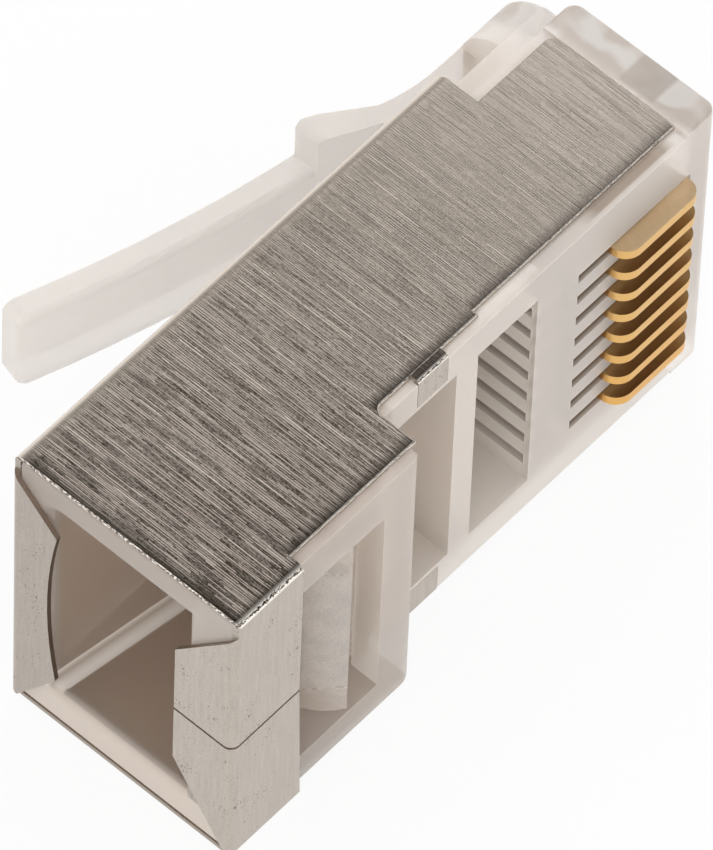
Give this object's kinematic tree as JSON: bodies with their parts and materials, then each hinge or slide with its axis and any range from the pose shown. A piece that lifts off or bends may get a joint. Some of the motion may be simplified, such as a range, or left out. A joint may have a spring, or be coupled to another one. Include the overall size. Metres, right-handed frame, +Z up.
{
  "type": "modular plug",
  "caption": "Shielded modular plug for network cable, with a folded metal shield, a clear housing, a long latch and a row of gold-plated contacts.",
  "frame": {"origin": "middle of the broad side that the plug lies on, at the outer face of the shield", "axes": "+X towards the nose, +Y towards the latch, +Z up across the width"},
  "size_m": [0.0214, 0.0136, 0.0117],
  "materials": {
    "clear_plastic": "clear moulded polycarbonate, faintly milky",
    "frosted_plastic": "the same plastic with a frosted, grainy face",
    "brushed_nickel": "nickel-plated brass sheet, broad faces brushed across, flaps satin",
    "gold_plating": "gold-plated edges on stamped phosphor bronze"
  },
  "bodies": {
    "housing": {"housing": "clear_plastic", "shield": "brushed_nickel"},
    "latch": {"latch_tab": "clear_plastic"},
    "strain_relief": {"strain_relief_bar": "frosted_plastic"},
    "way_1": {"contact_1": "gold_plating"},
    "way_2": {"contact_2": "gold_plating"},
    "way_3": {"contact_3": "gold_plating"},
    "way_4": {"contact_4": "gold_plating"},
    "way_5": {"contact_5": "gold_plating"},
    "way_6": {"contact_6": "gold_plating"},
    "way_7": {"contact_7": "gold_plating"},
    "way_8": {"contact_8": "gold_plating"}
  },
  "joints": [
    {"name": "latch_bend", "type": "hinge", "parent": "housing", "child": "latch", "pos_m": [0.00875, 0.00484, 0.00584], "axis": [0, 0, 1], "range_deg": [0, 12], "stiffness_Nm_per_rad": 0.15},
    {"name": "strain_relief_press", "type": "hinge", "parent": "housing", "child": "strain_relief", "pos_m": [-0.0046, -0.00265, 0.00584], "axis": [0, 0, -1], "range_deg": [0, 25]},
    {"name": "crimp_1", "type": "slide", "parent": "housing", "child": "way_1", "axis": [0, 1, 0], "range_m": [0, 0.001]},
    {"name": "crimp_2", "type": "slide", "parent": "housing", "child": "way_2", "axis": [0, 1, 0], "range_m": [0, 0.001]},
    {"name": "crimp_3", "type": "slide", "parent": "housing", "child": "way_3", "axis": [0, 1, 0], "range_m": [0, 0.001]},
    {"name": "crimp_4", "type": "slide", "parent": "housing", "child": "way_4", "axis": [0, 1, 0], "range_m": [0, 0.001]},
    {"name": "crimp_5", "type": "slide", "parent": "housing", "child": "way_5", "axis": [0, 1, 0], "range_m": [0, 0.001]},
    {"name": "crimp_6", "type": "slide", "parent": "housing", "child": "way_6", "axis": [0, 1, 0], "range_m": [0, 0.001]},
    {"name": "crimp_7", "type": "slide", "parent": "housing", "child": "way_7", "axis": [0, 1, 0], "range_m": [0, 0.001]},
    {"name": "crimp_8", "type": "slide", "parent": "housing", "child": "way_8", "axis": [0, 1, 0], "range_m": [0, 0.001]}
  ]
}
